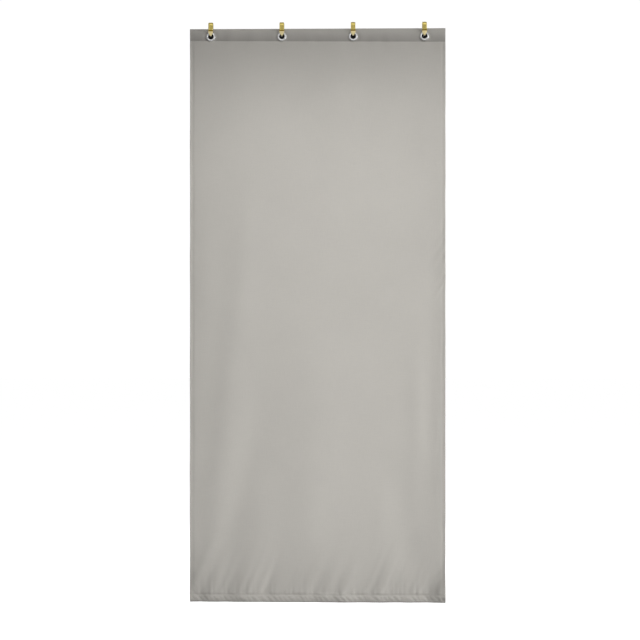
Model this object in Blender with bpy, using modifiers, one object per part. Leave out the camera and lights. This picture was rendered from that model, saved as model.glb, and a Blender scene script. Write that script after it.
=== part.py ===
"""Fabric room curtain panel on four hooks, in metres. +Z is up and -Y is the front.

The origin is on the axis of the rod that the hooks hang on, midway across the panel. The cloth lies just in
front of Y = 0, and the eyelets, the bushes and the hooks are centred on Y = 0.
"""

import math

import bmesh
import bpy
from mathutils import Matrix, Vector

GAP = 0.0003  # air between pieces that touch

# Panel
PANEL_W = 0.9144  # 36 in
PANEL_L = 2.053
CLOTH_T = 0.0008
STIFFENER_T = 0.0010
HEADER_H = 0.047
BOTTOM_HEM_H = 0.0275
SIDE_HEM_W = 0.011
THREAD_T = 0.0004
THREAD_W = 0.0008
SEAM_INSET = 0.0018  # from a hem's edge to its line of stitching

# Eyelets
EYELET_COUNT = 4
EYELET_SPACING = 0.255
EYELET_DROP = 0.0275  # from the top edge to an eyelet's centre
BORE_R = 0.0098
BARREL_R = 0.0104
CLOTH_HOLE_R = BARREL_R + GAP
FLANGE_R = 0.01575
FLANGE_SEAT_Y = -0.0019  # the flange's rim, just in front of the cloth
FLANGE_FRONT_Y = -0.0036
ROLL_R = 0.0133  # outer edge of the rolled rear lip
ROLL_SEAT_Y = 0.0028
ROLL_BACK_Y = 0.0036
WASHER_R = 0.0145
WASHER_T = 0.0006
ROUND_STEPS = 40

# Bushes
BUSH_R = BORE_R - GAP
BUSH_T = 0.0020
SLOT_W = 0.0068
SLOT_OVER = 0.0008  # room over the hook for the swing
SLOT_UNDER = 0.0009

# Hooks: every radius is of the strap's inner face
ROD_R = 0.0095  # the rod isn't part of the object
HOOK_T = 0.0015
HOOK_EDGE_T = 0.0008
HOOK_TOP_R = 0.0120
HOOK_BEND_R = 0.0050
HOOK_REAR_END_Z = -0.0130
HOOK_CREASE_Z = -0.0207
HOOK_W = 0.0162
HOOK_LOWER_W = 0.0176
HOOK_HOLE_W = 0.0056
HOOK_TAPER = 0.0115  # height over which the lower end narrows to the bush's slot
HOOK_TIP_W = 0.0032
HOOK_TIP_RISE = 0.0090
BEND_EXIT = math.radians(340)
TURN_STEP = math.radians(10)
SECTION_POINTS = 9  # across the crowned outer face

# Heights
HOOK_SEAT_Z = -0.0369  # inner face of the lower bend, which carries the panel
EYELET_Z = -0.0400
TOP_Z = EYELET_Z + EYELET_DROP
BOTTOM_Z = TOP_Z - PANEL_L
HEADER_Z = TOP_Z - HEADER_H
BOTTOM_HEM_Z = BOTTOM_Z + BOTTOM_HEM_H

# Depths of the header, from front to back
STIFFENER_Y = STIFFENER_T / 2
CLOTH_BACK_Y = -STIFFENER_Y - GAP
CLOTH_FRONT_Y = CLOTH_BACK_Y - CLOTH_T
FOLD_FRONT_Y = STIFFENER_Y + GAP
FOLD_BACK_Y = FOLD_FRONT_Y + CLOTH_T
HEM_FRONT_Y = CLOTH_BACK_Y + GAP
HEM_BACK_Y = HEM_FRONT_Y + CLOTH_T

EYELET_X = [EYELET_SPACING * (i - (EYELET_COUNT - 1) / 2) for i in range(EYELET_COUNT)]


def clear_scene():
    for obj in list(bpy.data.objects):
        bpy.data.objects.remove(obj, do_unlink=True)


def new_collection(name):
    collection = bpy.data.collections.new(name)
    bpy.context.scene.collection.children.link(collection)
    return collection


def material(name, colour, roughness, metallic=0.0):
    made = bpy.data.materials.new(name)
    made.use_nodes = True
    shader = made.node_tree.nodes["Principled BSDF"]
    shader.inputs["Base Color"].default_value = (*colour, 1.0)
    shader.inputs["Roughness"].default_value = roughness
    shader.inputs["Metallic"].default_value = metallic
    made.diffuse_color = (*colour, 1.0)
    return made


def place(obj, name, collection):
    """Names the object and moves it into the collection."""
    obj.name = name
    obj.data.name = name
    for holder in list(obj.users_collection):
        holder.objects.unlink(obj)
    collection.objects.link(obj)
    return obj


def box(name, collection, low, high):
    middle = [(a + b) / 2 for a, b in zip(low, high)]
    bpy.ops.mesh.primitive_cube_add(size=1, location=middle)
    obj = place(bpy.context.object, name, collection)
    sides = [b - a for a, b in zip(low, high)]
    obj.data.transform(Matrix.Diagonal((*sides, 1.0)))
    return obj


def cutter_box(name, low, high):
    return as_cutter(box(name, cutters, low, high))


def cutter_rod(name, centre, radius, length):
    bpy.ops.mesh.primitive_cylinder_add(
        vertices=ROUND_STEPS,
        radius=radius,
        depth=length,
        location=centre,
        rotation=(math.pi / 2, 0, 0),
    )
    return as_cutter(place(bpy.context.object, name, cutters))


def as_cutter(obj):
    obj.hide_render = True
    obj.display_type = "WIRE"
    return obj


def cut(obj, *tools):
    for tool in tools:
        modifier = obj.modifiers.new("cut_" + tool.name, "BOOLEAN")
        modifier.operation = "DIFFERENCE"
        modifier.solver = "EXACT"
        modifier.object = tool


def turned(name, collection, profile, centre):
    """A closed profile of (radius, depth) points, turned about the Y axis through centre."""
    mesh = bpy.data.meshes.new(name)
    points = [(radius, depth, 0) for radius, depth in profile]
    loop = [(i, (i + 1) % len(points)) for i in range(len(points))]
    mesh.from_pydata(points, loop, [])
    obj = bpy.data.objects.new(name, mesh)
    collection.objects.link(obj)
    obj.location = centre
    screw = obj.modifiers.new("turn", "SCREW")
    screw.axis = "Y"
    screw.angle = math.tau
    screw.steps = ROUND_STEPS
    screw.render_steps = ROUND_STEPS
    screw.use_merge_vertices = True
    screw.merge_threshold = 0.00001
    screw.use_normal_calculate = True
    return obj


def loft(name, collection, rings, centre):
    """Rings of world points joined into one closed skin, on an object whose origin is at centre."""
    mesh = bpy.data.meshes.new(name)
    shape = bmesh.new()
    loops = [[shape.verts.new(point - centre) for point in ring] for ring in rings]
    count = len(loops[0])
    for near, far in zip(loops, loops[1:]):
        for i in range(count):
            after = (i + 1) % count
            shape.faces.new((near[i], near[after], far[after], far[i]))
    shape.faces.new(reversed(loops[0]))
    shape.faces.new(loops[-1])
    bmesh.ops.recalc_face_normals(shape, faces=shape.faces)
    shape.to_mesh(mesh)
    shape.free()
    obj = bpy.data.objects.new(name, mesh)
    collection.objects.link(obj)
    obj.location = centre
    return obj


def arc(centre, radius, start, end):
    steps = max(1, round(abs(end - start) / TURN_STEP))
    points = []
    for i in range(steps + 1):
        angle = start + (end - start) * i / steps
        points.append((centre[0] + radius * math.cos(angle), centre[1] + radius * math.sin(angle)))
    return points


def line(start, end, steps):
    """Points between two ends, without the ends."""
    span = [end[i] - start[i] for i in range(2)]
    return [(start[0] + span[0] * i / steps, start[1] + span[1] * i / steps) for i in range(1, steps)]


def hook_path():
    """(y, z) points down the strap's inner face, from the rear end over the rod to the tip, and its stages."""
    top = (0.0, ROD_R - HOOK_TOP_R)
    bend = (0.0, HOOK_SEAT_Z + HOOK_BEND_R)
    rear_end = (HOOK_TOP_R, HOOK_REAR_END_Z)
    crease = (-HOOK_TOP_R, HOOK_CREASE_Z)
    away = (bend[0] - crease[0], bend[1] - crease[1])
    distance = math.hypot(*away)
    slant = math.atan2(away[1], away[0]) - math.asin(HOOK_BEND_R / distance)
    entry = slant - math.pi / 2 + math.tau
    over_rod = arc(top, HOOK_TOP_R, 0, math.pi)
    under = arc(bend, HOOK_BEND_R, entry, BEND_EXIT)
    rise = (-math.sin(BEND_EXIT), math.cos(BEND_EXIT))
    tip = (under[-1][0] + rise[0] * HOOK_TIP_RISE, under[-1][1] + rise[1] * HOOK_TIP_RISE)
    upper = [rear_end, *line(rear_end, over_rod[0], 6), *over_rod, *line(over_rod[-1], crease, 5)]
    lower = [crease, *line(crease, under[0], 7), *under, *line(under[-1], tip, 6), tip]
    return upper, lower, len(lower) - 6 - len(under)


def rounded_width(full, end, distance, length):
    """The strap's width at a distance from a rounded end."""
    if distance >= length:
        return full
    part = 1 - distance / length
    return end + (full - end) * math.sqrt(1 - part * part)


def hook_widths(upper, lower, bend_start):
    """The strap's width at each point of its path."""
    widths = []
    for y, z in upper:
        over = max(0.0, z - (ROD_R - HOOK_TOP_R)) / HOOK_TOP_R
        flare = 0.0006 * over**8
        rear = z - HOOK_REAR_END_Z if y > 0 else 1.0
        widths.append(rounded_width(HOOK_W, 0.006, rear, 0.005) + flare)
    for i, (y, z) in enumerate(lower):
        if i < bend_start or (y < 0 and z > HOOK_SEAT_Z + 0.0001):
            up = min(1.0, max(0.0, (z - HOOK_SEAT_Z) / HOOK_TAPER))
            widths.append(HOOK_HOLE_W + (HOOK_LOWER_W - HOOK_HOLE_W) * up**0.9)
        else:
            to_tip = lower[-1][1] - z
            widths.append(rounded_width(HOOK_HOLE_W, HOOK_TIP_W, to_tip, 0.004))
    widths[len(upper)] = HOOK_LOWER_W
    return widths


def hook_section(point, outward, width, x):
    """One closed ring across the strap: crowned on its outer face, flat on its inner face."""
    normal = Vector((0.0, *outward))
    seat = Vector((x, *point))
    ring = []
    for i in range(SECTION_POINTS):
        across = 2 * i / (SECTION_POINTS - 1) - 1
        height = HOOK_EDGE_T + (HOOK_T - HOOK_EDGE_T) * (1 - across * across)
        ring.append(seat + Vector((across * width / 2, 0, 0)) + normal * height)
    for across in (1.0, 0.5, 0.0, -0.5, -1.0):
        inset = 0.00025 if abs(across) == 1.0 else 0.0
        ring.append(seat + Vector((across * (width / 2 - inset), 0, 0)))
    return ring


def hook(name, collection, x):
    upper, lower, bend_start = hook_path()
    path = upper + lower
    widths = hook_widths(upper, lower, bend_start)
    rings = []
    for i, point in enumerate(path):
        before = path[max(0, i - 1)]
        after = path[min(len(path) - 1, i + 1)]
        along = (after[0] - before[0], after[1] - before[1])
        length = math.hypot(*along)
        outward = (along[1] / length, -along[0] / length)
        rings.append(hook_section(point, outward, widths[i], x))
    return loft(name, collection, rings, Vector((x, 0, HOOK_SEAT_Z)))


# Outlines of (radius, depth): the bore, the domed front flange, the barrel and the rolled rear lip
EYELET_PROFILE = [
    (BORE_R, ROLL_SEAT_Y - 0.0004),
    (BORE_R, FLANGE_SEAT_Y),
    (BORE_R + 0.0003, -0.0027),
    (BORE_R + 0.0010, -0.0033),
    (BORE_R + 0.0021, FLANGE_FRONT_Y),
    (BORE_R + 0.0034, FLANGE_FRONT_Y + 0.0001),
    (FLANGE_R - 0.0014, -0.0031),
    (FLANGE_R - 0.0004, -0.0025),
    (FLANGE_R, FLANGE_SEAT_Y - 0.0001),
    (FLANGE_R - 0.0002, FLANGE_SEAT_Y),
    (BARREL_R, FLANGE_SEAT_Y),
    (BARREL_R, ROLL_SEAT_Y),
    (ROLL_R - 0.0003, ROLL_SEAT_Y),
    (ROLL_R, ROLL_SEAT_Y + 0.0004),
    (ROLL_R - 0.0005, ROLL_BACK_Y),
    (BARREL_R + 0.0008, ROLL_BACK_Y + 0.0001),
    (BORE_R + 0.0004, ROLL_BACK_Y - 0.0004),
]

WASHER_PROFILE = [
    (BARREL_R + GAP, ROLL_SEAT_Y - GAP - WASHER_T),
    (BARREL_R + GAP, ROLL_SEAT_Y - GAP),
    (WASHER_R - GAP, ROLL_SEAT_Y - GAP),
    (WASHER_R, ROLL_SEAT_Y - 2 * GAP),
    (WASHER_R, ROLL_SEAT_Y - GAP - WASHER_T),
]


def bush_body(name, collection, centre):
    bpy.ops.mesh.primitive_cylinder_add(
        vertices=ROUND_STEPS,
        radius=BUSH_R,
        depth=BUSH_T,
        location=centre,
        rotation=(math.pi / 2, 0, 0),
    )
    obj = place(bpy.context.object, name, collection)
    bevel = obj.modifiers.new("edge", "BEVEL")
    bevel.width = 0.0003
    bevel.segments = 1
    bevel.limit_method = "ANGLE"
    return obj


clear_scene()
parts = new_collection("fabric_room_curtain_panel")
cutters = new_collection("cutters")

cloth_material = material("warm_grey_cloth", (0.45, 0.43, 0.40), 0.75)
stiffener_material = material("white_buckram", (0.75, 0.74, 0.70), 0.90)
thread_material = material("grey_thread", (0.50, 0.48, 0.45), 0.60)
eyelet_material = material("nickel_eyelet", (0.72, 0.72, 0.72), 0.25, 1.0)
washer_material = material("nickel_washer", (0.66, 0.66, 0.67), 0.35, 1.0)
bush_material = material("black_nylon", (0.012, 0.012, 0.013), 0.45)
hook_material = material("brass_hook", (0.72, 0.55, 0.24), 0.28, 1.0)

half = PANEL_W / 2
swing = bpy.data.objects.new("panel_swing_axis", None)
swing.location = (0, CLOTH_BACK_Y - CLOTH_T / 2, HOOK_SEAT_Z)
swing.empty_display_size = 0.05
parts.objects.link(swing)
bpy.context.view_layer.update()

hole_cutters = [
    cutter_rod(f"hole_{i + 1}", (x, 0, EYELET_Z), CLOTH_HOLE_R, 0.02) for i, x in enumerate(EYELET_X)
]

panel = box(
    "panel_cloth",
    parts,
    (-half, CLOTH_FRONT_Y, BOTTOM_Z),
    (half, CLOTH_BACK_Y, TOP_Z),
)
header_fold = box(
    "header_fold",
    parts,
    (-half, FOLD_FRONT_Y, HEADER_Z),
    (half, FOLD_BACK_Y, TOP_Z),
)
stiffener = box(
    "header_stiffener",
    parts,
    (-half + SIDE_HEM_W, -STIFFENER_Y, HEADER_Z + 2 * SEAM_INSET),
    (half - SIDE_HEM_W, STIFFENER_Y, TOP_Z - GAP),
)
bottom_hem = box(
    "bottom_hem",
    parts,
    (-half, HEM_FRONT_Y, BOTTOM_Z),
    (half, HEM_BACK_Y, BOTTOM_HEM_Z),
)
side_low = BOTTOM_HEM_Z + GAP
side_high = HEADER_Z - GAP
left_hem = box(
    "left_hem",
    parts,
    (-half, HEM_FRONT_Y, side_low),
    (-half + SIDE_HEM_W, HEM_BACK_Y, side_high),
)
right_hem = box(
    "right_hem",
    parts,
    (half - SIDE_HEM_W, HEM_FRONT_Y, side_low),
    (half, HEM_BACK_Y, side_high),
)
for sheet in (panel, header_fold, stiffener):
    cut(sheet, *hole_cutters)
for sheet in (panel, header_fold, bottom_hem, left_hem, right_hem):
    sheet.data.materials.append(cloth_material)
stiffener.data.materials.append(stiffener_material)

thread_back = CLOTH_FRONT_Y - GAP
thread_front = thread_back - THREAD_T
header_seam_z = HEADER_Z + SEAM_INSET
bottom_seam_z = BOTTOM_HEM_Z - SEAM_INSET
seam_x = half - SIDE_HEM_W + SEAM_INSET
level = {"header_seam": header_seam_z, "bottom_seam": bottom_seam_z}
upright = {"left_seam": -seam_x, "right_seam": seam_x}
seams = []
for name, z in level.items():
    low = (-half + GAP, thread_front, z - THREAD_W / 2)
    high = (half - GAP, thread_back, z + THREAD_W / 2)
    seams.append(box(name, parts, low, high))
for name, x in upright.items():
    low = (x - THREAD_W / 2, thread_front, bottom_seam_z + THREAD_W / 2 + GAP)
    high = (x + THREAD_W / 2, thread_back, header_seam_z - THREAD_W / 2 - GAP)
    seams.append(box(name, parts, low, high))
for seam in seams:
    seam.data.materials.append(thread_material)

swinging = [panel, header_fold, stiffener, bottom_hem, left_hem, right_hem, *seams]
for i, x in enumerate(EYELET_X):
    number = i + 1
    centre = (x, 0, EYELET_Z)
    eyelet = turned(f"eyelet_{number}", parts, EYELET_PROFILE, centre)
    eyelet.data.materials.append(eyelet_material)
    washer = turned(f"washer_{number}", parts, WASHER_PROFILE, centre)
    washer.data.materials.append(washer_material)
    bush = bush_body(f"bush_{number}", parts, centre)
    slot = cutter_box(
        f"slot_{number}",
        (x - SLOT_W / 2, -BUSH_T, HOOK_SEAT_Z - HOOK_T - SLOT_UNDER),
        (x + SLOT_W / 2, BUSH_T, HOOK_SEAT_Z + SLOT_OVER),
    )
    cut(bush, slot)
    bush.data.materials.append(bush_material)
    strap = hook(f"hook_{number}", parts, x)
    strap.data.materials.append(hook_material)
    swinging += [eyelet, washer, bush]

bpy.context.view_layer.update()
for piece in swinging:
    piece.parent = swing
    piece.matrix_parent_inverse = swing.matrix_world.inverted()
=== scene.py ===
"""Looks of the fabric room curtain panel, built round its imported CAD. Metres, +Z up, -Y is the front."""

import math

import bmesh
import bpy
import numpy as np
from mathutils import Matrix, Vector


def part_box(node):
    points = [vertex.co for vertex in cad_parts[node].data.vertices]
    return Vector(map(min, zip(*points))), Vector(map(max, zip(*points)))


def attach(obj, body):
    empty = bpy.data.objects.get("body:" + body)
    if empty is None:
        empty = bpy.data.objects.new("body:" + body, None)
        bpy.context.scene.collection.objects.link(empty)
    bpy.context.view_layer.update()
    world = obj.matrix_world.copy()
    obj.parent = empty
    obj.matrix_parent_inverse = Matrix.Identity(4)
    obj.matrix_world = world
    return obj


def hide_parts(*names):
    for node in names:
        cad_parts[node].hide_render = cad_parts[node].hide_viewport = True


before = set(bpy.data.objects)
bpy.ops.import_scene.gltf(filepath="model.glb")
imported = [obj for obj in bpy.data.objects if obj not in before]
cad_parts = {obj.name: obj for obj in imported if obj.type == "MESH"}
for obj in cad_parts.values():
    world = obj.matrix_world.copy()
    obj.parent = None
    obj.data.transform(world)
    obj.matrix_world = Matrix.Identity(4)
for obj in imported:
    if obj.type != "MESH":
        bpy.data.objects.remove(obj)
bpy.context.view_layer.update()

# ---------------------------------------------------------------- sizes, from the imported CAD parts where they hold them
MM = 0.001
CLOTH_LOW, CLOTH_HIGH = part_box("panel_cloth")
HALF_W = CLOTH_HIGH.x
TOP_Z = CLOTH_HIGH.z
BOTTOM_Z = CLOTH_LOW.z
FRONT_Y = (CLOTH_LOW.y + CLOTH_HIGH.y) / 2  # middle of the front layer
HEADER_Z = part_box("header_fold")[0].z
HEM_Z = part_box("bottom_hem")[1].z
SIDE_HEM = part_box("left_hem")[1].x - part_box("left_hem")[0].x
HEADER_SEAM_Z = sum(corner.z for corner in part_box("header_seam")) / 2
BOTTOM_SEAM_Z = sum(corner.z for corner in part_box("bottom_seam")) / 2
SIDE_SEAM_X = sum(corner.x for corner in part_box("right_seam")) / 2
NUMBERS = (1, 2, 3, 4)
EYELET_BOXES = [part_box(f"eyelet_{n}") for n in NUMBERS]
EYELETS = [((low.x + high.x) / 2, (low.z + high.z) / 2) for low, high in EYELET_BOXES]

THICK = 0.5 * MM  # one layer of cloth
LAYER = 0.8 * MM  # from the middle of one folded layer to the next
HEM_TURN, TOP_TURN = 1.0 * MM, 1.5 * MM  # height of the rounded turn along the bottom and the top edge
HEADER_DEPTH = 2.4 * MM  # from the front layer to the back layer, round the stiffener
HEADER_ROLL = 19.0 * MM  # height over which the header rolls back to its seam
SEAM_SLANT = 3.0 * MM / HALF_W  # fall of the header's seam for each metre to the right
HEM_SEAM_OVER = BOTTOM_SEAM_Z - BOTTOM_Z  # height of the bottom seam over the edge
COLUMN = 4.4 * MM  # width of one column of the sheet's mesh
HOLE_R = 11.2 * MM  # in the cloth and the buckram, around the barrel of an eyelet
HOLE_CUT = 0.55 * HOLE_R  # radius within which the mesh is taken out
HOLE_SPREAD = 18 * MM  # radius within which it is drawn back to the hole's edge
FLAT_R = 16.5 * MM  # the folds die out towards this radius round an eyelet
PRESSED_R = 15.5 * MM  # and the roll above the header's seam towards this one, just under the flange
PUCKERS_OVER = 1.22  # height over the bottom edge where the right side is most puckered
PUCKERS_REACH = 0.19  # and how far above and below that the puckers reach
BUCKRAM_T = 0.5 * MM
BUCKRAM_GAP = 8 * MM  # from the header's seam up to the buckram

BUSH_R, BUSH_T = 9.78 * MM, 2.0 * MM  # the slotted disc in each eyelet
STRAP_TOP_R = 12.0 * MM  # inner face of the bend over the rod
STRAP_TOP_Z = -2.5 * MM  # middle of that bend
STRAP_REAR_Z = -13.0 * MM  # rear end
STRAP_CREASE_Z = -20.7 * MM  # where the front leg bends in towards the eyelet
STRAP_BEND_R = 5.0 * MM  # inner face of the lower bend
STRAP_SEAT_Z = -36.9 * MM  # lowest line of that face, which carries the panel
STRAP_EXIT = math.radians(340)  # where the lower bend ends and the tip begins
STRAP_RISE = 9.0 * MM  # length of the tip behind the panel
STRAP_W, STRAP_CREASE_W, STRAP_SLOT_W = 16.2 * MM, 17.6 * MM, 5.6 * MM  # width at the shank, crease and slot
STRAP_TAPER = 11.5 * MM  # height over which the lower end narrows to the slot
STRAP_FLARE = 1.6 * MM  # length above the crease over which the strap widens
STRAP_REAR_ROUND, STRAP_TIP_ROUND = 5.0 * MM, 4.0 * MM  # lengths over which the two ends are rounded
STRAP_EDGE_T, STRAP_T = 0.8 * MM, 1.5 * MM  # thickness at the edges and along the middle

rng = np.random.default_rng(11)


# ---------------------------------------------------------------- smooth random lines
def smooth(t):
    t = np.clip(t, 0, 1)
    return t * t * (3 - 2 * t)


class Wander:
    """A smooth random line of values from -1 to 1, with one turn each step."""

    def __init__(self, low, high, step):
        self.low = low
        self.step = step
        count = int((high - low) / step) + 4
        self.values = rng.uniform(-1, 1, count)

    def __call__(self, at):
        place = (np.asarray(at, float) - self.low) / self.step
        cell = np.clip(np.floor(place).astype(int), 0, len(self.values) - 2)
        part = smooth(place - cell)
        return self.values[cell] * (1 - part) + self.values[cell + 1] * part


def hump(distance, width):
    return np.exp(-((distance / width) ** 2))


# ---------------------------------------------------------------- how the cloth hangs
# Down to front_y, which adds them up, places and reaches are in metres and depths are in millimetres.
# Long soft folds in the body of the panel: x and height over the bottom edge at the upper end, the same at
# the lower end, half width, and how far the middle stands back.
LONG_FOLDS = (
    (-0.456, 0.70, -0.456, 0.05, 0.028, -2.2),
    (-0.205, 1.70, -0.375, 0.29, 0.055, -2.4),
    (-0.300, 1.70, -0.400, 0.40, 0.045, 2.2),
    (-0.178, 0.85, -0.350, 0.04, 0.056, 6.2),
    (-0.025, 1.15, -0.025, 0.12, 0.100, -7.4),
    (0.350, 0.95, 0.360, 0.55, 0.030, -1.6),
    (0.265, 0.60, 0.345, 0.08, 0.060, 4.0),
    (0.425, 1.60, 0.395, 0.30, 0.040, 2.4),
)
# Shorter folds that fan up from the bottom hem: x at the hem, half width, and how far the middle stands back.
HEM_FOLDS = (
    (-0.470, 0.035, -3.0),
    (-0.413, 0.020, 2.0),
    (-0.345, 0.018, 1.6),
    (-0.279, 0.028, -6.0),
    (-0.205, 0.016, 1.8),
    (-0.125, 0.050, 2.6),
    (-0.070, 0.018, 1.4),
    (0.067, 0.056, -8.4),
    (0.130, 0.018, 1.4),
    (0.215, 0.026, -3.2),
    (0.285, 0.020, -1.6),
    (0.368, 0.042, 5.4),
    (0.458, 0.034, -7.6),
)
HEM_LEAN = 0.42  # sideways run of a fold above the hem, for each metre up
HEM_TWIST = 19 * MM  # from one turn of the twisted hem to the next
gather_fine = Wander(-0.9, 0.9, 0.0075)
gather_mid = Wander(-0.9, 0.9, 0.019)
gather_wide = Wander(-0.9, 0.9, 0.034)
hem_rope = Wander(-0.9, 0.9, 0.0080)
gather_height = Wander(-0.9, 0.9, 0.060)
header_wave = Wander(-0.6, 0.6, 0.026)
header_slow = Wander(-0.6, 0.6, 0.110)
side_pucker = [Wander(-2.3, 0.2, 0.013) for _ in range(2)]
side_slow = [Wander(-2.3, 0.2, 0.090) for _ in range(2)]
edge_line = [Wander(-2.3, 0.2, 0.070) for _ in range(2)]
bottom_line = Wander(-0.6, 0.6, 0.055)


def long_folds(x, over):
    """The LONG_FOLDS, each of which fades at both its ends. over is the height over the bottom edge."""
    out = np.zeros_like(x)
    for x_top, z_top, x_low, z_low, width, depth in LONG_FOLDS:
        along = (over - z_low) / (z_top - z_low)
        middle = x_low + (x_top - x_low) * along
        ends = smooth((along + 0.08) / 0.25) * smooth((1.0 - along) / 0.4)
        out += depth * ends * hump(x - middle, width * (0.85 + 0.35 * np.clip(along, 0, 1)))
    return out


def hem_folds(x, over):
    """Folds and gathers above the bottom seam, where the hem draws the cloth in. The finer they are, the
    sooner they die out upwards."""
    lean = x - HEM_LEAN * np.maximum(over - 0.02, 0)
    reach = 0.050 + 0.025 * gather_height(x)
    above = np.maximum(over - HEM_SEAM_OVER, 0)
    out = np.zeros_like(x)
    for middle, width, depth in HEM_FOLDS:
        out += depth * hump(lean - middle, width * (1 + 2 * above)) * np.exp(-above / (2.4 * reach))
    out += 2.00 * gather_fine(x) * np.exp(-above / (0.36 * reach)) * smooth(above / 0.006)
    out += 2.80 * gather_mid(lean) * np.exp(-above / (1.25 * reach)) * smooth(above / 0.010)
    out += 3.00 * gather_wide(lean) * np.exp(-above / (1.9 * reach))
    return out * (0.5 + 0.5 * smooth(over / HEM_SEAM_OVER))


def hem_roll(x, over):
    """The bottom hem itself: a soft roll between its seam and its lower edge, twisted like a rope."""
    part = np.clip(over / HEM_SEAM_OVER, 0, 1)
    roll = np.sin(math.pi * part) ** 0.8 * (part < 1)
    slant = x + 0.9 * over
    twist = 1.2 * np.sin(math.tau * slant / HEM_TWIST + 2.6 * gather_mid(x)) + 1.0 * hem_rope(slant)
    return (twist - 1.4) * roll + 1.7 * (1 - smooth(over / 0.0050))


def side_gathers(x, z):
    """Puckers along the side hems, stronger on the right and strongest a little above its middle."""
    out = np.zeros_like(x)
    for side, pucker, slow in zip((-1, 1), side_pucker, side_slow):
        inward = HALF_W - side * x
        strength = (0.9 + 0.3 * side) * (0.5 + 0.5 * slow(z))
        if side > 0:
            strength = strength + 2.3 * hump(z - BOTTOM_Z - PUCKERS_OVER, 0.13)
        fade = np.exp(-np.maximum(inward - SIDE_HEM, 0) / 0.020) * smooth((TOP_Z - z) / 0.25)
        out += strength * pucker(z + 1.3 * inward) * fade * smooth(inward / 0.008)
        out += 1.8 * slow(z) * np.exp(-inward / 0.05) * smooth((TOP_Z - z) / 0.3)
    return out


def header_seam_at(x):
    """Height of the header's seam, which was sewn a little aslant."""
    return HEADER_SEAM_Z - SEAM_SLANT * x + 0.8 * MM * header_slow(x)


def header_shape(x, z):
    """Slow waves that the header hands down to the cloth, and the crown of its stiffened part."""
    below = np.maximum(header_seam_at(x) - z, 0)
    out = 0.75 * header_wave(x) * np.exp(-below / 0.022) * smooth((TOP_Z - z) / 0.04)
    out += 2.0 * header_slow(x) * smooth(below / 0.10) * np.exp(-below / 0.6)
    return out - 1.8 * hump(z - (TOP_Z + HEADER_Z) / 2, 0.018)


def seam_grooves(x, z):
    """The cloth drawn back along the bottom and side seams."""
    out = 1.5 * hump(z - BOTTOM_SEAM_Z, 0.0032)
    side = np.where(x < 0, 1.4, 1.1)
    return out + side * hump(np.abs(x) - SIDE_SEAM_X, 0.0030) * (z < HEADER_SEAM_Z)


def header_groove(x, z):
    """The header rolls back to its seam, and the cloth below comes forward again."""
    roll = HEADER_ROLL * (1 + 0.28 * header_wave(x + 0.2))
    above = np.maximum(z - header_seam_at(x), 0)
    below = np.maximum(header_seam_at(x) - z, 0)
    shape = np.exp(-below / 0.0080) * np.exp(-((above / roll) ** 1.4))
    return (4.4 + 0.6 * header_wave(x)) * shape


def front_y(x, z):
    """How far the front layer stands back from its plane, towards +Y, in metres."""
    over = z - BOTTOM_Z
    out = long_folds(x, over) + hem_folds(x, over) + hem_roll(x, over)
    out += side_gathers(x, z) + header_shape(x, z) + seam_grooves(x, z)
    groove = header_groove(x, z)
    for centre_x, centre_z in EYELETS:
        away = np.hypot(x - centre_x, z - centre_z)
        out *= smooth((away - FLAT_R) / 0.012)
        groove *= smooth((away - PRESSED_R) / 0.0045)
    return (out + groove) * MM


def edge_shift(x, z):
    """Slight unevenness of the outline, so that no edge is ruled."""
    wave = np.where(x < 0, edge_line[0](z), edge_line[1](z))
    near_edge = smooth((np.abs(x) - 0.36) / 0.09)
    return 0.5 * MM * wave * near_edge * np.sign(x) * smooth((TOP_Z - z) / 0.1)


# ---------------------------------------------------------------- the one folded sheet
def steps(start, end, count):
    """The ends of count even steps from start to end."""
    return np.linspace(start, end, count + 1)[1:]


def folded_columns():
    """Places across the sheet: x, and how far behind the front layer the turned side hem lies."""
    radius = LAYER / 2
    flat_half = HALF_W - radius
    count = int(round(2 * flat_half / COLUMN))
    middle = np.linspace(-flat_half, flat_half, count + 1)
    turn = steps(0, math.pi, 6)
    hem = steps(flat_half, HALF_W - SIDE_HEM, 4)
    right = [(flat_half + radius * math.sin(a), radius - radius * math.cos(a)) for a in turn]
    right += [(x, LAYER) for x in hem]
    left = [(-x, depth) for x, depth in reversed(right)]
    places = left + [(x, 0.0) for x in middle] + right
    return np.array(places)


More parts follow.
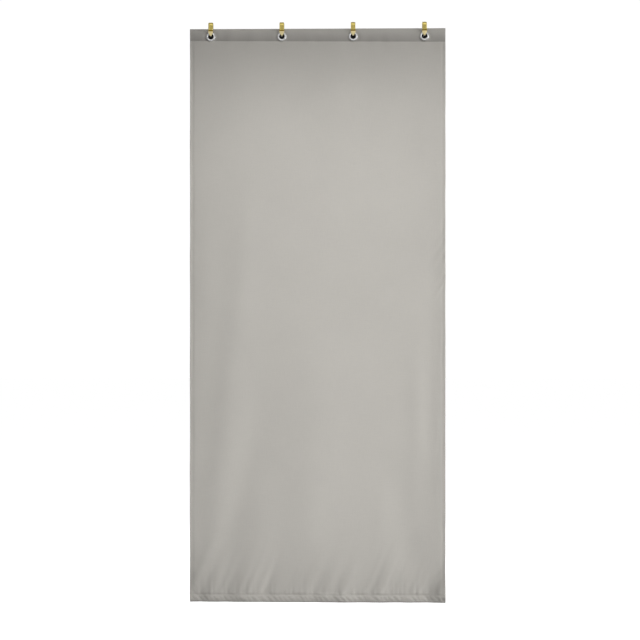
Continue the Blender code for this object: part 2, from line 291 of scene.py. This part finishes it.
def folded_rows():
    """Places up the sheet: height, part of the way round a fold from 0 to 1, and which fold: -1 at the
    bottom, 1 at the top or 0 between them. They are closer where the cloth is gathered or seamed."""
    turn = steps(0, 1, 7)
    dense_top, gathers_top = BOTTOM_Z + 0.12, BOTTOM_Z + 0.22
    puckers_low = BOTTOM_Z + PUCKERS_OVER - PUCKERS_REACH
    puckers_top = BOTTOM_Z + PUCKERS_OVER + PUCKERS_REACH
    seam_low, seam_top = HEADER_Z - 4 * MM, HEADER_Z + 6 * MM

    foot = steps(BOTTOM_Z + HEM_TURN, BOTTOM_Z + 4 * MM, 4)
    low = steps(BOTTOM_Z + 4 * MM, dense_top, 35)
    rise = steps(dense_top, gathers_top, 14)
    plain = steps(gathers_top, puckers_low, 27)
    puckered = steps(puckers_low, puckers_top, 43)
    upper = steps(puckers_top, HEADER_Z - 0.05, 20)
    under = steps(HEADER_Z - 0.05, seam_low, 13)
    seam = steps(seam_low, seam_top, 7)
    header = steps(seam_top, TOP_Z - TOP_TURN, 11)
    back = steps(TOP_Z - TOP_TURN, HEADER_SEAM_Z + 2 * MM, 11)
    raw = steps(HEADER_SEAM_Z + 2 * MM, HEADER_Z, 6)

    rows = [(z, 1.0, -1) for z in (HEM_Z, *steps(HEM_Z, BOTTOM_Z + HEM_TURN, 8))]
    rows += [(BOTTOM_Z, 1 - part, -1) for part in turn]
    rows += [(z, 0.0, -1) for z in (*foot, *low)]
    rows += [(z, 0.0, 0) for z in (*rise, *plain, *puckered, *upper, *under, *seam)]
    rows += [(z, 0.0, 1) for z in header]
    rows += [(TOP_Z, part, 1) for part in turn]
    rows += [(z, 1.0, 1) for z in (*back, *raw)]
    return rows


def fold_depth(x, z, fold):
    """How far behind the front layer the turned-over layer lies."""
    corner = smooth((np.abs(x) - (HALF_W - SIDE_HEM - 0.010)) / 0.010)
    plain = LAYER + 2 * LAYER * corner
    if fold < 0:
        return plain * (1 - 0.3 * hump(z - BOTTOM_SEAM_Z, 0.003))
    above_seam = smooth((z - header_seam_at(x)) / 0.005)
    return plain + above_seam * ((HEADER_DEPTH - LAYER) * (1 - corner) + 0.2 * MM * corner)


def sheet_points(columns, rows):
    """Where each row and column of the hung sheet crosses."""
    x, hem_depth = columns.T
    points = np.zeros((len(rows), len(columns), 3))
    for r, (z, part, fold) in enumerate(rows):
        height = np.full_like(x, z)
        depth = hem_depth
        if fold > 0 and part == 1:
            drop = (TOP_Z - header_seam_at(x) + HEADER_SEAM_Z - HEADER_Z) / (TOP_Z - HEADER_Z)
            height = TOP_Z - (TOP_Z - z) * drop
        if fold and part > 0:
            full = fold_depth(x, height, fold)
            angle = math.pi * part
            away = (1 - math.cos(angle)) / 2
            depth = away * full + (1 - 2 * away) * hem_depth
            if part < 1:
                reach = np.maximum(full / 2 - hem_depth, 0.1 * MM)
                inset = HEM_TURN if fold < 0 else TOP_TURN
                height = z - fold * inset + fold * reach * math.sin(angle)
        points[r, :, 0] = x + edge_shift(x, height)
        points[r, :, 1] = FRONT_Y + front_y(x, height) + depth
        points[r, :, 2] = height + (0.5 * MM * bottom_line(x) if fold < 0 else 0)
    return points


def mesh_object(name, verts, faces):
    """An object in the scene, made of the given points and faces."""
    mesh = bpy.data.meshes.new(name)
    mesh.from_pydata(verts, [], faces)
    obj = bpy.data.objects.new(name, mesh)
    bpy.context.scene.collection.objects.link(obj)
    return obj


def solid_object(name, verts, faces):
    """A closed mesh with every face turned outwards."""
    obj = mesh_object(name, verts, faces)
    shape = bmesh.new()
    shape.from_mesh(obj.data)
    bmesh.ops.recalc_face_normals(shape, faces=shape.faces)
    shape.to_mesh(obj.data)
    shape.free()
    return obj


def smooth_all(mesh):
    mesh.polygons.foreach_set("use_smooth", np.ones(len(mesh.polygons), bool))


def grid_object(name, points, flat_u, flat_v):
    """A mesh of quads through a grid of points, with its flat place as a UV map, in metres."""
    rows, columns = points.shape[:2]
    index = np.arange(rows * columns).reshape(rows, columns)
    quads = np.stack([index[:-1, :-1], index[:-1, 1:], index[1:, 1:], index[1:, :-1]], axis=-1).reshape(-1, 4)
    obj = mesh_object(name, points.reshape(-1, 3).tolist(), quads.tolist())
    mesh = obj.data
    flat = np.stack(np.broadcast_arrays(flat_u[None, :], flat_v[:, None]), axis=-1).reshape(-1, 2)
    uv = mesh.uv_layers.new(name="flat")
    loops = np.empty(len(mesh.loops), int)
    mesh.loops.foreach_get("vertex_index", loops)
    uv.data.foreach_set("uv", flat[loops].astype(np.float32).ravel())
    smooth_all(mesh)
    return obj


def punch(obj):
    """Round holes at the eyelets: the faces in the middle go, and the cloth around them is drawn back to the
    circle."""
    shape = bmesh.new()
    shape.from_mesh(obj.data)
    flat = shape.loops.layers.uv.active
    slack = (HOLE_SPREAD - HOLE_R) / (HOLE_SPREAD - HOLE_CUT)
    for centre_x, centre_z in EYELETS:
        away = {v: math.hypot(v.co.x - centre_x, v.co.z - centre_z) for v in shape.verts}
        inside = {v for v, distance in away.items() if distance < HOLE_CUT}
        ring = {v for vert in inside for face in vert.link_faces for v in face.verts} - inside
        for vert, distance in away.items():
            if vert in inside or distance > HOLE_SPREAD:
                continue
            pushed = HOLE_R if vert in ring else HOLE_R + (distance - HOLE_CUT) * slack
            shift_x = (vert.co.x - centre_x) * (pushed / distance - 1)
            shift_z = (vert.co.z - centre_z) * (pushed / distance - 1)
            vert.co.x += shift_x
            vert.co.z += shift_z
            for loop in vert.link_loops:
                loop[flat].uv += Vector((shift_x, shift_z))
        bmesh.ops.delete(shape, geom=list(inside), context="VERTS")
    shape.to_mesh(obj.data)
    shape.free()


def flat_lengths(points):
    """Distance along the middle row and the middle column of the sheet."""
    row = points[points.shape[0] // 2]
    column = points[:, points.shape[1] // 2]
    u = np.concatenate([[0], np.cumsum(np.linalg.norm(np.diff(row, axis=0), axis=1))])
    v = np.concatenate([[0], np.cumsum(np.linalg.norm(np.diff(column, axis=0), axis=1))])
    return u, v


def thicken(obj, thickness):
    solid = obj.modifiers.new("thickness", "SOLIDIFY")
    solid.thickness = thickness
    solid.offset = 0
    solid.use_even_offset = False


columns, rows = folded_columns(), folded_rows()
cloth_points = sheet_points(columns, rows)
flat_u, flat_v = flat_lengths(cloth_points)
cloth = grid_object("curtain_cloth", cloth_points, flat_u, flat_v)
punch(cloth)
thicken(cloth, THICK)

# the buckram inside the header follows the front layer
stiff_half = HALF_W - SIDE_HEM - 1 * MM
stiff_x = np.linspace(-stiff_half, stiff_half, 240)
stiff_z = np.linspace(HEADER_SEAM_Z + BUCKRAM_GAP, TOP_Z - 1.2 * MM, 12)
across, up = np.meshgrid(stiff_x, stiff_z)
stiff_y = FRONT_Y + front_y(across, up) + HEADER_DEPTH / 2
stiffener = grid_object("header_buckram", np.stack([across, stiff_y, up], axis=-1), stiff_x, stiff_z)
punch(stiffener)
thicken(stiffener, BUCKRAM_T)


# ---------------------------------------------------------------- stitches
def stitch_row(name, start, end, depth_at, drift=None):
    """Lockstitches from one (x, z) point to another, on the front and behind the last layer. drift gives the
    line's own height at x, where it doesn't run straight."""
    pitch, length, radius = 3.5 * MM, 2.7 * MM, 0.21 * MM
    margin = 0.4 * MM  # before the first stitch
    sunk, proud = 0.10 * MM, 0.10 * MM  # the thread's middle, at a stitch's ends and half way along it
    span = math.hypot(end[0] - start[0], end[1] - start[1])
    along = np.array([(end[0] - start[0]) / span, (end[1] - start[1]) / span])
    count = int(span / pitch)
    stations = np.linspace(0, 1, 5)
    sides = 6
    jitter = rng.uniform(-0.15, 0.15, (count, 2)) * MM
    verts, faces = [], []
    for face in (-1, 1):
        begin = np.arange(count) * pitch + (margin if face < 0 else margin + pitch / 2)
        place = begin[:, None] + jitter[:, :1] + length * stations[None, :]
        place = np.minimum(place, span)
        x = start[0] + along[0] * place - along[1] * jitter[:, 1:]
        z = start[1] + along[1] * place + along[0] * jitter[:, 1:]
        if drift:
            z = z - start[1] + drift(x)
        surface = FRONT_Y + front_y(x, z)
        if face > 0:
            surface = surface + depth_at(x, z)
        arch = np.sin(math.pi * stations)
        lift = face * (THICK / 2 - sunk + (sunk + proud) * arch)
        thin = radius * (0.55 + 0.45 * arch)
        angle = math.tau * np.arange(sides) / sides
        side = thin[:, None] * np.cos(angle)
        up = thin[:, None] * np.sin(angle)
        ring = np.zeros((count, len(stations), sides, 3))
        ring[..., 0] = x[..., None] - along[1] * side
        ring[..., 1] = (surface + lift)[..., None] + up
        ring[..., 2] = z[..., None] + along[0] * side
        first = len(verts)
        verts.extend(ring.reshape(-1, 3).tolist())
        size = len(stations) * sides
        for k in range(count):
            base = first + k * size
            for r in range(len(stations) - 1):
                for i in range(sides):
                    a = base + r * sides + i
                    b = base + r * sides + (i + 1) % sides
                    faces.append((a, b, b + sides, a + sides))
            faces.append(tuple(base + i for i in reversed(range(sides))))
            faces.append(tuple(base + size - sides + i for i in range(sides)))
    obj = solid_object(name, verts, faces)
    smooth_all(obj.data)
    return obj


def header_back(x, z):
    return fold_depth(x, z, 1)


def hem_back(x, z):
    return fold_depth(x, z, -1)


def side_back(x, z):
    return np.full_like(x, LAYER)


edge_in = HALF_W - 1.5 * MM
side_low, side_high = BOTTOM_SEAM_Z + 2 * MM, HEADER_SEAM_Z - 5 * MM
header_ends = (-edge_in, HEADER_SEAM_Z), (edge_in, HEADER_SEAM_Z)
bottom_ends = (-edge_in, BOTTOM_SEAM_Z), (edge_in, BOTTOM_SEAM_Z)
left_ends = (-SIDE_SEAM_X, side_low), (-SIDE_SEAM_X, side_high)
right_ends = (SIDE_SEAM_X, side_low), (SIDE_SEAM_X, side_high)
stitches = {
    "header": stitch_row("header_stitches", *header_ends, header_back, header_seam_at),
    "bottom": stitch_row("bottom_stitches", *bottom_ends, hem_back),
    "left": stitch_row("left_stitches", *left_ends, side_back),
    "right": stitch_row("right_stitches", *right_ends, side_back),
}


# ---------------------------------------------------------------- materials
class Graph:
    """A short way to wire shader nodes."""

    def __init__(self, name, colour, roughness, metallic=0.0):
        self.material = bpy.data.materials.new(name)
        self.material.use_nodes = True
        self.tree = self.material.node_tree
        self.shader = self.tree.nodes["Principled BSDF"]
        self.shader.inputs["Base Color"].default_value = (*colour, 1)
        self.shader.inputs["Roughness"].default_value = roughness
        self.shader.inputs["Metallic"].default_value = metallic

    def node(self, kind, **settings):
        made = self.tree.nodes.new(kind)
        for key, value in settings.items():
            if key in made.inputs:
                made.inputs[key].default_value = value
            else:
                setattr(made, key, value)
        return made

    def link(self, source, target):
        self.tree.links.new(source, target)

    def place(self, scale=(1, 1, 1), uv=None):
        if uv:
            coords = self.node("ShaderNodeUVMap", uv_map=uv).outputs[0]
        else:
            coords = self.node("ShaderNodeTexCoord").outputs["Object"]
        mapping = self.node("ShaderNodeMapping")
        mapping.inputs["Scale"].default_value = scale
        self.link(coords, mapping.inputs["Vector"])
        return mapping.outputs[0]

    def noise(self, where, scale, detail=3.0, roughness=0.5):
        made = self.node("ShaderNodeTexNoise")
        made.inputs["Scale"].default_value = scale
        made.inputs["Detail"].default_value = detail
        made.inputs["Roughness"].default_value = roughness
        self.link(where, made.inputs["Vector"])
        return made.outputs["Fac"]

    def wave(self, where, direction, pitch, distortion=0.0):
        """Bands of light and dark, one pair each pitch. At a scale of 1 the node repeats every tau / 20."""
        made = self.node("ShaderNodeTexWave", bands_direction=direction)
        made.inputs["Scale"].default_value = math.tau / 20 / pitch
        made.inputs["Distortion"].default_value = distortion
        made.inputs["Detail"].default_value = 1.0
        made.inputs["Detail Scale"].default_value = 0.4
        self.link(where, made.inputs["Vector"])
        return made.outputs["Fac"]

    def calc(self, operation, first, second):
        made = self.node("ShaderNodeMath", operation=operation)
        for socket, value in zip(made.inputs, (first, second)):
            if isinstance(value, (int, float)):
                socket.default_value = value
            else:
                self.link(value, socket)
        return made.outputs[0]

    def ramp(self, factor, low, high, start, end):
        made = self.node("ShaderNodeMapRange")
        made.inputs["From Min"].default_value = low
        made.inputs["From Max"].default_value = high
        made.inputs["To Min"].default_value = start
        made.inputs["To Max"].default_value = end
        self.link(factor, made.inputs["Value"])
        return made.outputs[0]

    def blend(self, factor, dark, light):
        made = self.node("ShaderNodeMix", data_type="RGBA")
        self.link(factor, made.inputs[0])
        for socket, colour in zip((made.inputs[6], made.inputs[7]), (dark, light)):
            if isinstance(colour, tuple):
                socket.default_value = (*colour, 1)
            else:
                self.link(colour, socket)
        return made.outputs[2]

    def bump(self, height, distance, strength):
        made = self.node("ShaderNodeBump")
        made.inputs["Distance"].default_value = distance
        made.inputs["Strength"].default_value = strength
        self.link(height, made.inputs["Height"])
        return made.outputs[0]


CLOTH_DARK = (0.363, 0.348, 0.321)
CLOTH_LIGHT = (0.434, 0.416, 0.384)
HEADER_PAINTED_SHADE = 0.33  # painted shade, strongest at the header's seam and fading out towards the top of the header
YARN = 0.55 * MM  # from one thread of the weave to the next


def cloth_material():
    g = Graph("warm_grey_cloth", CLOTH_LIGHT, 0.62)
    where = g.place(uv="flat")
    warp = g.wave(where, "X", YARN)
    weft = g.wave(where, "Y", YARN)
    weave = g.calc("MULTIPLY", warp, weft)
    slub = g.noise(g.place((420, 24, 1), uv="flat"), 1.0, 4.0, 0.6)
    pick = g.noise(g.place((24, 420, 1), uv="flat"), 1.0, 4.0, 0.6)
    cloud = g.noise(where, 5.0, 3.0, 0.5)
    threads = g.calc("ADD", g.calc("MULTIPLY", slub, 0.5), g.calc("MULTIPLY", pick, 0.5))
    tone = g.calc("ADD", g.calc("MULTIPLY", threads, 0.55), g.calc("MULTIPLY", weave, 0.30))
    tone = g.calc("ADD", tone, g.calc("MULTIPLY", cloud, 0.28))
    colour = g.blend(g.ramp(tone, 0.25, 0.78, 0.0, 1.0), CLOTH_DARK, CLOTH_LIGHT)
    # Painted shade: the cloth's colour is darkened above the header's seam, most at the seam and fading out
    # towards the top.
    place = g.node("ShaderNodeSeparateXYZ")
    g.link(g.place(), place.inputs[0])
    level = g.calc("ADD", place.outputs["Z"], g.calc("MULTIPLY", place.outputs["X"], SEAM_SLANT))
    header_shade_mask = g.ramp(level, HEADER_SEAM_Z - 1 * MM, HEADER_SEAM_Z + 1 * MM, 0.0, 1.0)
    depth = g.ramp(level, HEADER_SEAM_Z, TOP_Z - 8 * MM, HEADER_PAINTED_SHADE, 0.0)
    g.link(g.blend(g.calc("MULTIPLY", header_shade_mask, depth), colour, (0, 0, 0)), g.shader.inputs["Base Color"])
    g.link(g.ramp(threads, 0.3, 0.7, 0.55, 0.70), g.shader.inputs["Roughness"])
    height = g.calc("ADD", weave, g.calc("MULTIPLY", threads, 0.8))
    g.link(g.bump(height, 0.12 * MM, 0.55), g.shader.inputs["Normal"])
    g.shader.inputs["Sheen Weight"].default_value = 0.10
    g.shader.inputs["Sheen Roughness"].default_value = 0.45
    g.shader.inputs["Specular IOR Level"].default_value = 0.30
    return g.material


def thread_material():
    g = Graph("grey_thread", (0.33, 0.32, 0.30), 0.55)
    where = g.place()
    twist = g.wave(where, "DIAGONAL", 0.7 * MM, 0.4)
    g.link(g.blend(twist, (0.24, 0.23, 0.215), (0.37, 0.36, 0.335)), g.shader.inputs["Base Color"])
    g.link(g.bump(twist, 0.06 * MM, 0.5), g.shader.inputs["Normal"])
    g.shader.inputs["Sheen Weight"].default_value = 0.15
    return g.material


def buckram_material():
    g = Graph("white_buckram", (0.62, 0.61, 0.57), 0.9)
    where = g.place(uv="flat")
    net = g.calc("MULTIPLY", g.wave(where, "X", 1.6 * MM), g.wave(where, "Y", 1.6 * MM))
    g.link(g.blend(net, (0.50, 0.49, 0.45), (0.66, 0.65, 0.61)), g.shader.inputs["Base Color"])
    g.link(g.bump(net, 0.2 * MM, 0.6), g.shader.inputs["Normal"])
    return g.material


def nickel_material():
    g = Graph("bright_nickel", (0.74, 0.74, 0.74), 0.22, 1.0)
    where = g.place()
    scuff = g.noise(where, 900.0, 4.0, 0.65)
    haze = g.noise(where, 120.0, 3.0, 0.5)
    g.link(g.ramp(scuff, 0.35, 0.75, 0.30, 0.46), g.shader.inputs["Roughness"])
    g.link(g.blend(haze, (0.27, 0.27, 0.28), (0.40, 0.40, 0.39)), g.shader.inputs["Base Color"])
    g.link(g.bump(scuff, 0.02 * MM, 0.4), g.shader.inputs["Normal"])
    return g.material


def nylon_material():
    g = Graph("black_nylon", (0.003, 0.003, 0.0035), 0.6)
    grain = g.noise(g.place(), 2200.0, 3.0, 0.6)
    g.link(g.ramp(grain, 0.3, 0.7, 0.42, 0.62), g.shader.inputs["Roughness"])
    g.link(g.bump(grain, 0.03 * MM, 0.5), g.shader.inputs["Normal"])
    g.shader.inputs["Specular IOR Level"].default_value = 0.06
    return g.material


def brass_material():
    """Lacquered brass: olive gold on the shank, with painted shade in a dark band across the crease and a
    painted pale reflection below it, where the strap faces down."""
    g = Graph("satin_brass", (0.40, 0.31, 0.11), 0.3, 1.0)
    where = g.place()
    height = g.node("ShaderNodeSeparateXYZ")
    g.link(where, height.inputs[0])
    brushed = g.noise(g.place((1, 1, 0.02)), 2600.0, 2.0, 0.6)
    patina = g.noise(where, 220.0, 3.0, 0.6)
    shank = g.blend(patina, (0.27, 0.215, 0.062), (0.35, 0.285, 0.086))
    # Painted reflection: below the crease the strap gets a paler colour for the bright floor it reflects
    # where it faces down.
    painted_pale_reflection = g.blend(patina, (0.47, 0.395, 0.21), (0.54, 0.465, 0.26))
    low_part = g.ramp(height.outputs["Z"], STRAP_CREASE_Z - 0.5 * MM, STRAP_CREASE_Z - 1.5 * MM, 0.0, 1.0)
    colour = g.blend(low_part, shank, painted_pale_reflection)
    # Painted shade: a dark brown band across the crease, where the bend lies in shade.
    crease = g.calc("SUBTRACT", height.outputs["Z"], STRAP_CREASE_Z + 0.2 * MM)
    crease = g.calc("ABSOLUTE", crease, 0.0)
    crease = g.ramp(crease, 1.4 * MM, 2.8 * MM, 1.0, 0.0)
    colour = g.blend(crease, colour, (0.12, 0.075, 0.006))
    g.link(colour, g.shader.inputs["Base Color"])
    g.link(g.ramp(brushed, 0.3, 0.7, 0.24, 0.40), g.shader.inputs["Roughness"])
    g.link(g.bump(brushed, 0.02 * MM, 0.4), g.shader.inputs["Normal"])
    return g.material


CLOTH, THREAD, BUCKRAM = cloth_material(), thread_material(), buckram_material()
NICKEL, NYLON, BRASS = nickel_material(), nylon_material(), brass_material()


def settle(obj, body, slot, material, *nodes):
    obj.data.materials.clear()
    obj.data.materials.append(material)
    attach(obj, body)
    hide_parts(*nodes)


settle(cloth, "panel", "cloth", CLOTH, "panel_cloth", "header_fold", "bottom_hem", "left_hem", "right_hem")
settle(stiffener, "panel", "stiffener", BUCKRAM, "header_stiffener")
for name, obj in stitches.items():
    settle(obj, "panel", "thread", THREAD, f"{name}_seam")


# ---------------------------------------------------------------- metal and plastic fittings
def spline(points, per):
    """Catmull-Rom points through an open list of points."""
    found = []
    last = len(points) - 1
    for i in range(last):
        p = [np.array(points[min(max(i + k, 0), last)], float) for k in (-1, 0, 1, 2)]
        for step in range(per):
            t = step / per
            straight = 2 * p[1] + (p[2] - p[0]) * t
            bent = (2 * p[0] - 5 * p[1] + 4 * p[2] - p[3]) * t * t
            twisted = (3 * p[1] - p[0] - 3 * p[2] + p[3]) * t**3
            found.append(tuple(0.5 * (straight + bent + twisted)))
    return [*found, points[-1]]


def turned(name, profile, centre, sides=96):
    """A closed profile of (radius, depth), in millimetres, turned about the Y axis through centre."""
    verts, faces = [], []
    count = len(profile)
    for s in range(sides):
        angle = math.tau * s / sides
        for radius, depth in profile:
            verts.append((radius * MM * math.cos(angle), depth * MM, radius * MM * math.sin(angle)))
    for s in range(sides):
        for i in range(count):
            a, b = s * count + i, s * count + (i + 1) % count
            c, d = (s + 1) % sides * count + (i + 1) % count, (s + 1) % sides * count + i
            faces.append((a, b, c, d))
    obj = solid_object(name, verts, faces)
    obj.location = centre
    return obj


def smooth_by_angle(obj, degrees):
    smooth_all(obj.data)
    obj.data.set_sharp_from_angle(angle=math.radians(degrees))


# Outlines of (radius, depth) in millimetres: the domed front flange, the rolled rear lip and the washer
FLANGE = [
    (9.8, -1.7), (9.95, -2.6), (10.6, -3.2), (11.8, -3.55),
    (13.2, -3.5), (14.5, -3.1), (15.4, -2.5), (15.75, -1.95),
]
ROLL = [
    (10.4, 2.75), (11.7, 2.78), (13.0, 2.82), (13.3, 3.15),
    (12.8, 3.6), (11.3, 3.68), (10.2, 3.25), (9.8, 2.4),
]
SHELL_PROFILE = [*spline(FLANGE, 4), (15.6, -1.9), (10.4, -1.9), *spline(ROLL, 4)]
WASHER_PROFILE = [(10.7, 1.9), (10.7, 2.5), (14.1, 2.5), (14.35, 2.44), (14.5, 2.3), (14.5, 1.9)]


def arc_points(middle, radius, start, end, count):
    angle = np.linspace(start, end, count)
    return np.stack([middle[0] + radius * np.cos(angle), middle[1] + radius * np.sin(angle)], axis=1)


def strap_path(step):
    """Places (y, z) down the strap's inner face, from the rear end over the rod to the tip."""
    bend = np.array([0.0, STRAP_SEAT_Z + STRAP_BEND_R])
    crease = np.array([-STRAP_TOP_R, STRAP_CREASE_Z])
    away = bend - crease
    slant = math.atan2(away[1], away[0]) - math.asin(STRAP_BEND_R / np.hypot(*away))
    under = arc_points(bend, STRAP_BEND_R, slant + 1.5 * math.pi, STRAP_EXIT, 60)
    tip = under[-1] + STRAP_RISE * np.array([-math.sin(STRAP_EXIT), math.cos(STRAP_EXIT)])
    over = arc_points((0, STRAP_TOP_Z), STRAP_TOP_R, 0, math.pi, 120)
    corners = np.concatenate([[(STRAP_TOP_R, STRAP_REAR_Z)], over, [crease], under, [tip]])
    length = np.concatenate([[0], np.cumsum(np.hypot(*np.diff(corners, axis=0).T))])
    place = np.linspace(0, length[-1], int(length[-1] / step))
    path = np.stack([np.interp(place, length, corners[:, k]) for k in range(2)], axis=1)
    for _ in range(3):
        path[1:-1] = (path[:-2] + 2 * path[1:-1] + path[2:]) / 4
    return path


def strap_widths(path):
    """The strap's width at each place: round at both ends, widest at the crease, narrow in the slot."""
    z = path[:, 1]
    at = np.arange(len(z))
    lowest = int(np.argmin(z))
    from_crease = np.hypot(path[:, 0] + STRAP_TOP_R, z - STRAP_CREASE_Z)
    crease = int(np.argmin(from_crease[:lowest]))
    step = np.hypot(*np.diff(path, axis=0).T).mean()
    up = np.clip((z - STRAP_SEAT_Z) / STRAP_TAPER, 0, 1) ** 0.9
    taper = STRAP_SLOT_W + (STRAP_CREASE_W - STRAP_SLOT_W) * up
    upper = STRAP_W + (STRAP_CREASE_W - STRAP_W) * smooth(1 - (crease - at) * step / STRAP_FLARE)
    width = np.where(at < crease, upper, np.where(at < lowest, taper, STRAP_SLOT_W))
    rear = np.clip(at * step / STRAP_REAR_ROUND, 0, 1)
    tip = np.clip((len(z) - 1 - at) * step / STRAP_TIP_ROUND, 0, 1)
    width = width * (0.36 + 0.64 * np.sqrt(1 - (1 - rear) ** 2))
    return width * (0.50 + 0.50 * np.sqrt(1 - (1 - tip) ** 2))


def strap_hook(name, x):
    """One bent strap, crowned on its outer face, flat on its inner face and soft along its edges."""
    path = strap_path(0.45 * MM)
    widths = strap_widths(path)
    along = np.gradient(path, axis=0)
    along /= np.hypot(*along.T)[:, None]
    outward = np.stack([along[:, 1], -along[:, 0]], axis=1)
    crown = np.linspace(-0.97, 0.97, 19)
    across = np.concatenate([crown, [1, 1, 0.985], -np.linspace(-0.9, 0.9, 7), [-0.985, -1, -1]])
    rise = np.concatenate([
        STRAP_EDGE_T + (STRAP_T - STRAP_EDGE_T) * (1 - crown**2),
        np.array([0.60, 0.22, 0.03]) * MM,
        np.zeros(7),
        np.array([0.03, 0.22, 0.60]) * MM,
    ])
    rings = np.zeros((len(path), len(across), 3))
    rings[..., 0] = x + widths[:, None] / 2 * across
    rings[..., 1] = path[:, None, 0] + outward[:, None, 0] * rise
    rings[..., 2] = path[:, None, 1] + outward[:, None, 1] * rise
    count, size = rings.shape[:2]
    index = np.arange(count * size).reshape(count, size)
    ahead = np.roll(index, -1, axis=1)
    faces = np.stack([index[:-1], ahead[:-1], ahead[1:], index[1:]], axis=-1).reshape(-1, 4).tolist()
    faces += [index[0, ::-1].tolist(), index[-1].tolist()]
    return solid_object(name, rings.reshape(-1, 3).tolist(), faces)


def slot_cutter(x):
    """What the slot takes out of the bush: the strap's own section, with more room behind for the swing."""
    across = np.linspace(-1, 1, 13)
    side_room, top_room, front_room, rear_room = 0.2 * MM, 0.8 * MM, 0.05 * MM, 0.80 * MM
    half = STRAP_SLOT_W / 2 + side_room
    top = STRAP_SEAT_Z + top_room
    verts = []
    for y, room in ((-BUSH_T, front_room), (BUSH_T, rear_room)):
        drop = STRAP_EDGE_T + (STRAP_T - STRAP_EDGE_T) * (1 - across**2) + room
        verts += [(x + half * part, y, STRAP_SEAT_Z - low) for part, low in zip(across, drop)]
        verts += [(x + half, y, top), (x - half, y, top)]
    size = len(verts) // 2
    faces = [tuple(range(size)), tuple(range(2 * size - 1, size - 1, -1))]
    faces += [(i, (i + 1) % size, size + (i + 1) % size, size + i) for i in range(size)]
    return solid_object("slot_cutter", verts, faces)


def bush(name, centre):
    """A black disc with a slot for the strap."""
    bpy.ops.mesh.primitive_cylinder_add(
        vertices=96, radius=BUSH_R, depth=BUSH_T, location=centre, rotation=(math.pi / 2, 0, 0)
    )
    obj = bpy.context.object
    obj.name = name
    cutter = slot_cutter(centre[0])
    for_slot = obj.modifiers.new("slot", "BOOLEAN")
    for_slot.operation = "DIFFERENCE"
    for_slot.object = cutter
    rounded = obj.modifiers.new("edge", "BEVEL")
    rounded.width = 0.15 * MM
    rounded.segments = 2
    rounded.limit_method = "ANGLE"
    bpy.context.view_layer.update()
    evaluated = obj.evaluated_get(bpy.context.evaluated_depsgraph_get())
    mesh = bpy.data.meshes.new_from_object(evaluated)
    obj.modifiers.clear()
    obj.data = mesh
    bpy.data.objects.remove(cutter, do_unlink=True)
    smooth_by_angle(obj, 35)
    return obj


for number, (x, z) in zip(NUMBERS, EYELETS):
    centre = (x, 0, z)
    eyelet = turned(f"eyelet_shell_{number}", SHELL_PROFILE, centre)
    smooth_by_angle(eyelet, 40)
    settle(eyelet, "panel", "nickel", NICKEL, f"eyelet_{number}")
    washer = turned(f"eyelet_washer_{number}", WASHER_PROFILE, centre)
    smooth_by_angle(washer, 35)
    settle(washer, "panel", "nickel", NICKEL, f"washer_{number}")
    insert = bush(f"nylon_bush_{number}", centre)
    settle(insert, "panel", "nylon", NYLON, f"bush_{number}")
    strap = strap_hook(f"strap_hook_{number}", x)
    smooth_by_angle(strap, 40)
    settle(strap, f"hook_{number}", "brass", BRASS, f"hook_{number}")

[obj.name for obj in stitches.values()]


# ---------------------------------------------------------------- stage, light and camera
scene = bpy.context.scene
scene.view_settings.view_transform = "Standard"
scene.view_settings.look = "None"

DISTANCE = 6.0  # from the camera to the panel
YAW = math.radians(1.38)  # seen from a little to the right
VIEW_W = 640 * 3.58 * MM  # width of the view at the panel

bpy.ops.mesh.primitive_plane_add(size=60, location=(0, 0, BOTTOM_Z - 0.235))
floor = bpy.context.object
floor.name = "floor"
pale = Graph("pale_floor", (0.5, 0.5, 0.5), 0.9)
pale.shader.inputs["Emission Color"].default_value = (1, 1, 1, 1)
pale.shader.inputs["Emission Strength"].default_value = 1.0
pale.shader.inputs["Specular IOR Level"].default_value = 0.0
floor.data.materials.append(pale.material)
floor.visible_diffuse = False

world = bpy.data.worlds.new("white_room")
scene.world = world
world.use_nodes = True
background = world.node_tree.nodes["Background"]
background.inputs["Color"].default_value = (1, 1, 1, 1)
background.inputs["Strength"].default_value = 1.02
world.cycles_visibility.diffuse = False


def area_light(name, place, target, size, power, spread):
    data = bpy.data.lights.new(name, "AREA")
    data.shape = "RECTANGLE"
    data.size, data.size_y = size
    data.energy = power
    data.spread = math.radians(spread)
    obj = bpy.data.objects.new(name, data)
    scene.collection.objects.link(obj)
    obj.location = place
    obj.rotation_euler = (Vector(target) - Vector(place)).to_track_quat("-Z", "Y").to_euler()


area_light("key", (0.85, -1.65, -1.05), (0.05, 0, -1.15), (1.10, 2.10), 2.67, 26)
area_light("key_wide", (0.05, -1.80, -1.12), (0.02, 0, -1.12), (1.60, 1.80), 1.46, 34)
area_light("key_left", (-0.75, -1.65, -1.05), (0.0, 0, -1.15), (1.10, 2.10), 2.32, 26)
area_light("overhead", (0.2, -1.7, 1.7), (0, 0, -0.5), (2.2, 1.2), 10.6, 120)
area_light("side_window", (4.9, -1.7, -0.7), (0, 0, -1.0), (2.6, 2.6), 210.0, 180)
area_light("back_fill", (0.4, 3.6, 0.2), (0.0, 0, -1.04), (3.0, 3.0), 60.0, 180)

camera_data = bpy.data.cameras.new("camera")
camera_data.sensor_width = 36
camera_data.lens = camera_data.sensor_width * DISTANCE / VIEW_W
camera = bpy.data.objects.new("camera", camera_data)
scene.collection.objects.link(camera)
middle = Vector((0.009, 0, (TOP_Z + BOTTOM_Z) / 2 - 0.0165))
camera.location = middle + Vector((math.sin(YAW), -math.cos(YAW), 0)) * DISTANCE
camera.rotation_euler = (math.pi / 2, 0, YAW)
scene.camera = camera
